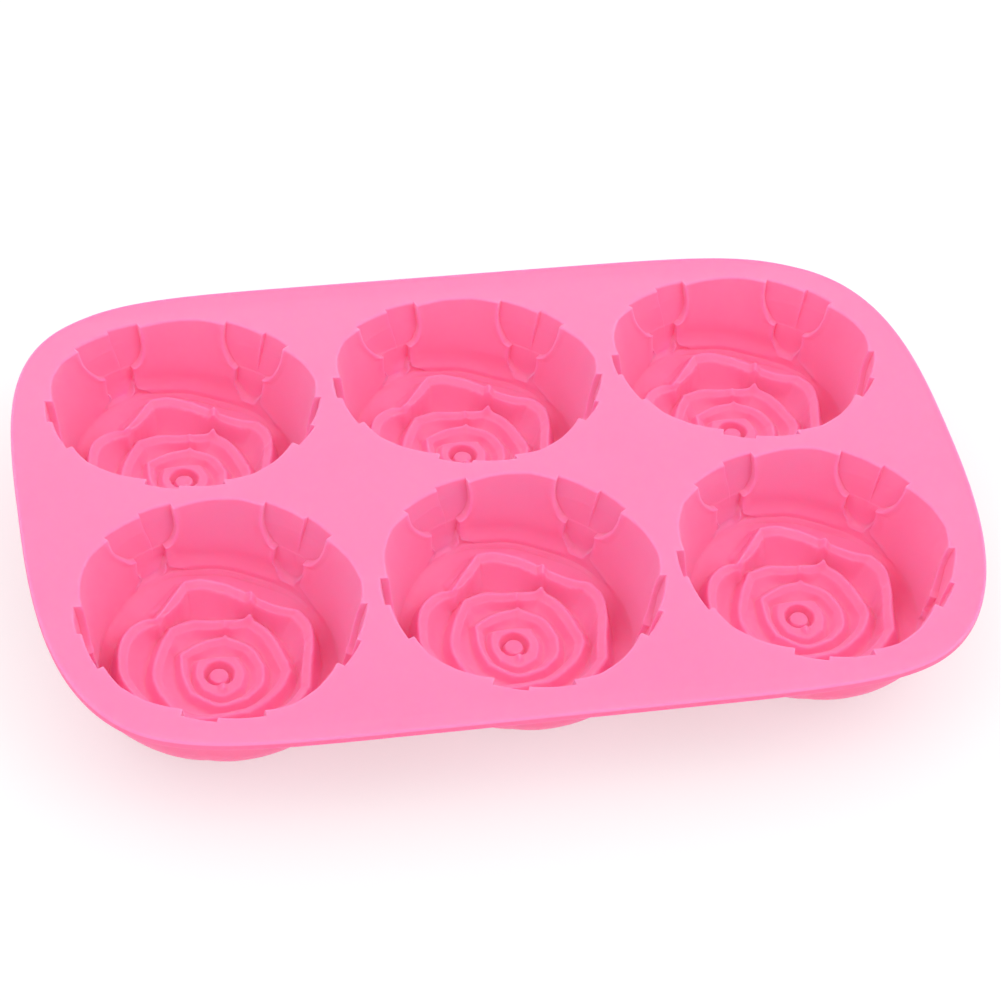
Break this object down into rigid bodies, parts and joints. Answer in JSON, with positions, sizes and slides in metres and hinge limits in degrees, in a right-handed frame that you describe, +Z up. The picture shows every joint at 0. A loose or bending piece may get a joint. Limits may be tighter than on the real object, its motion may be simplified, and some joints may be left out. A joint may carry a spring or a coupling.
{
  "type": "silicone soap mould",
  "caption": "Rounded rectangular silicone tray mould with rose-shaped cups in two rows, a rounded edge and open mouths on top, standing on its cup bottoms.",
  "frame": {"origin": "bottom centre of the mould, in the plane of the cups' flat bottoms", "axes": "+X along the length, +Y from front to back, +Z up out of the mouths"},
  "size_m": [0.2576, 0.1752, 0.036],
  "materials": {
    "pink_silicone": "satin, slightly translucent silicone"
  },
  "bodies": {
    "root": {"deck_sheet": "pink_silicone", "edge_band": "pink_silicone", "rose_cup_front_left": "pink_silicone", "rose_cup_front_centre": "pink_silicone", "rose_cup_front_right": "pink_silicone", "rose_cup_back_left": "pink_silicone", "rose_cup_back_centre": "pink_silicone", "rose_cup_back_right": "pink_silicone"}
  },
  "joints": []
}
